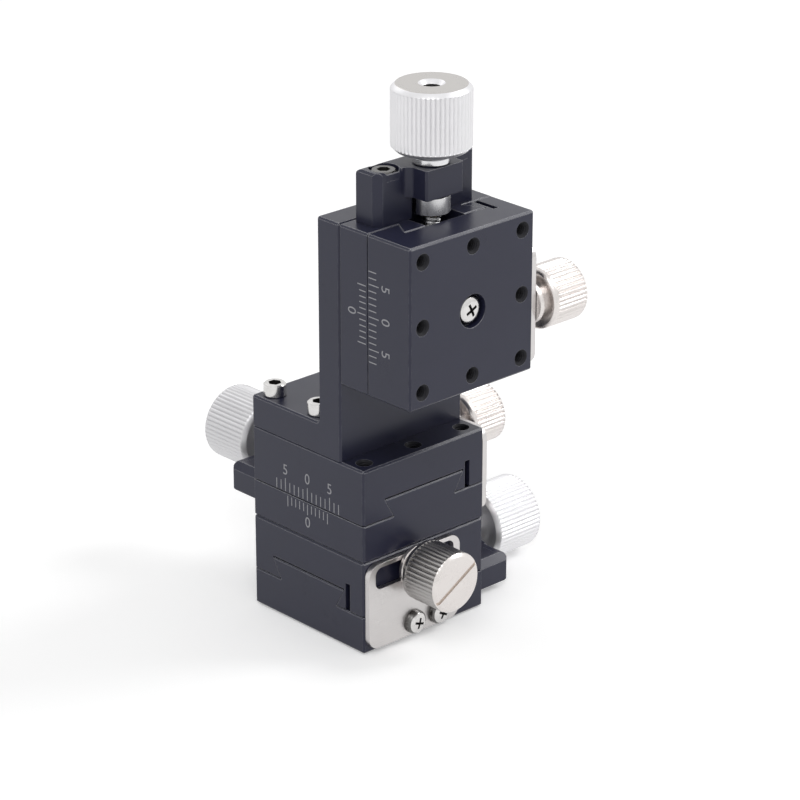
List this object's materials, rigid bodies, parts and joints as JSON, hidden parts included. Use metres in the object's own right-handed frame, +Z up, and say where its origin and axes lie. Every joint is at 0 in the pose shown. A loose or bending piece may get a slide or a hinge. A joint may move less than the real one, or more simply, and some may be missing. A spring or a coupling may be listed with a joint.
{
  "type": "xyz translation stage",
  "caption": "Miniature XYZ translation stage: dovetail slides on feed screws with knurled knobs, an upright axis on an angle bracket, and a clamp knob on each axis.",
  "frame": {"origin": "centre of the bottom face of the lowest base, in the middle of its four mounting holes", "axes": "+Z up, along the upright axis; +X along the lowest stage's travel, towards its knob; -Y the front, where the upright table shows its tapped holes"},
  "size_m": [0.045, 0.057, 0.0874],
  "materials": {
    "black_anodised": "satin black anodised aluminium",
    "clear_anodised": "clear anodised aluminium, straight knurled",
    "nickel_plated": "nickel plated steel, straight knurled",
    "stainless": "satin stainless steel sheet",
    "bright_steel": "bright plated screw steel",
    "ground_steel": "turned and ground steel",
    "black_steel": "blackened steel",
    "brass": "machined brass"
  },
  "bodies": {
    "x_stage": {"x_base": "black_anodised", "x_drive_bracket": "black_anodised", "x_bracket_screws": "bright_steel", "x_clamp_plate": "stainless", "x_clamp_plate_screws": "bright_steel"},
    "x_carriage": {"lower_table": "black_anodised", "x_nut": "brass", "x_nut_screw": "bright_steel", "x_gib_screws": "black_steel", "y_base": "black_anodised", "y_drive_bracket": "black_anodised", "y_bracket_screws": "bright_steel", "y_clamp_plate": "stainless", "y_clamp_plate_screws": "bright_steel", "y_base_screws": "bright_steel"},
    "y_carriage": {"cross_table": "black_anodised", "y_nut": "brass", "y_nut_screw": "bright_steel", "y_gib_screws": "black_steel", "z_angle_bracket": "black_anodised", "foot_screws": "bright_steel", "z_base": "black_anodised", "z_drive_bracket": "black_anodised", "z_bracket_screws": "bright_steel", "z_clamp_plate": "stainless", "z_clamp_plate_screws": "bright_steel", "z_base_screws": "bright_steel"},
    "z_carriage": {"upright_table": "black_anodised", "z_nut": "brass", "z_nut_screw": "bright_steel", "z_gib_screws": "black_steel"},
    "x_spindle": {"x_feed_screw": "ground_steel", "x_thrust_washer": "stainless", "x_drive_knob": "clear_anodised"},
    "x_clamp_ring": {"x_clamp_washer": "stainless"},
    "x_clamp": {"x_clamp_knob": "nickel_plated"},
    "y_spindle": {"y_feed_screw": "ground_steel", "y_thrust_washer": "stainless", "y_drive_knob": "clear_anodised"},
    "y_clamp_ring": {"y_clamp_washer": "stainless"},
    "y_clamp": {"y_clamp_knob": "nickel_plated"},
    "z_spindle": {"z_feed_screw": "ground_steel", "z_thrust_washer": "stainless", "z_drive_knob": "clear_anodised"},
    "z_clamp_ring": {"z_clamp_washer": "stainless"},
    "z_clamp": {"z_clamp_knob": "nickel_plated"}
  },
  "joints": [
    {"name": "x_drive_turn", "type": "hinge", "parent": "x_stage", "child": "x_spindle", "pos_m": [0.027, 0, 0.0062], "axis": [1, 0, 0], "range_deg": [-4680, 4680]},
    {"name": "x_travel", "type": "slide", "parent": "x_stage", "child": "x_carriage", "axis": [1, 0, 0], "range_m": [-0.0065, 0.0065]},
    {"name": "x_clamp_travel", "type": "slide", "parent": "x_carriage", "child": "x_clamp_ring", "axis": [0, -1, 0], "range_m": [0, 0.0005]},
    {"name": "x_clamp_turn", "type": "hinge", "parent": "x_clamp_ring", "child": "x_clamp", "pos_m": [-0.0028, -0.018, 0.0122], "axis": [0, -1, 0], "range_deg": [0, 360]},
    {"name": "y_drive_turn", "type": "hinge", "parent": "x_carriage", "child": "y_spindle", "pos_m": [0, 0.027, 0.0212], "axis": [0, 1, 0], "range_deg": [-4680, 4680]},
    {"name": "y_travel", "type": "slide", "parent": "x_carriage", "child": "y_carriage", "axis": [0, 1, 0], "range_m": [-0.0065, 0.0065]},
    {"name": "y_clamp_travel", "type": "slide", "parent": "y_carriage", "child": "y_clamp_ring", "axis": [1, 0, 0], "range_m": [0, 0.0005]},
    {"name": "y_clamp_turn", "type": "hinge", "parent": "y_clamp_ring", "child": "y_clamp", "pos_m": [0.018, -0.0028, 0.0272], "axis": [1, 0, 0], "range_deg": [0, 360]},
    {"name": "z_drive_turn", "type": "hinge", "parent": "y_carriage", "child": "z_spindle", "pos_m": [0, -0.0137, 0.082], "axis": [0, 0, 1], "range_deg": [-4680, 4680]},
    {"name": "z_travel", "type": "slide", "parent": "y_carriage", "child": "z_carriage", "axis": [0, 0, 1], "range_m": [-0.0065, 0.0065]},
    {"name": "z_clamp_travel", "type": "slide", "parent": "z_carriage", "child": "z_clamp_ring", "axis": [1, 0, 0], "range_m": [0, 0.0005]},
    {"name": "z_clamp_turn", "type": "hinge", "parent": "z_clamp_ring", "child": "z_clamp", "pos_m": [0.018, -0.0197, 0.0522], "axis": [1, 0, 0], "range_deg": [0, 360]}
  ],
  "couplings": [
    {"joint": "x_drive_turn", "follows": "x_travel", "rad_per_m": -12566},
    {"joint": "x_clamp_turn", "follows": "x_clamp_travel", "rad_per_m": 12566},
    {"joint": "y_drive_turn", "follows": "y_travel", "rad_per_m": -12566},
    {"joint": "y_clamp_turn", "follows": "y_clamp_travel", "rad_per_m": 12566},
    {"joint": "z_drive_turn", "follows": "z_travel", "rad_per_m": -12566},
    {"joint": "z_clamp_turn", "follows": "z_clamp_travel", "rad_per_m": 12566}
  ]
}
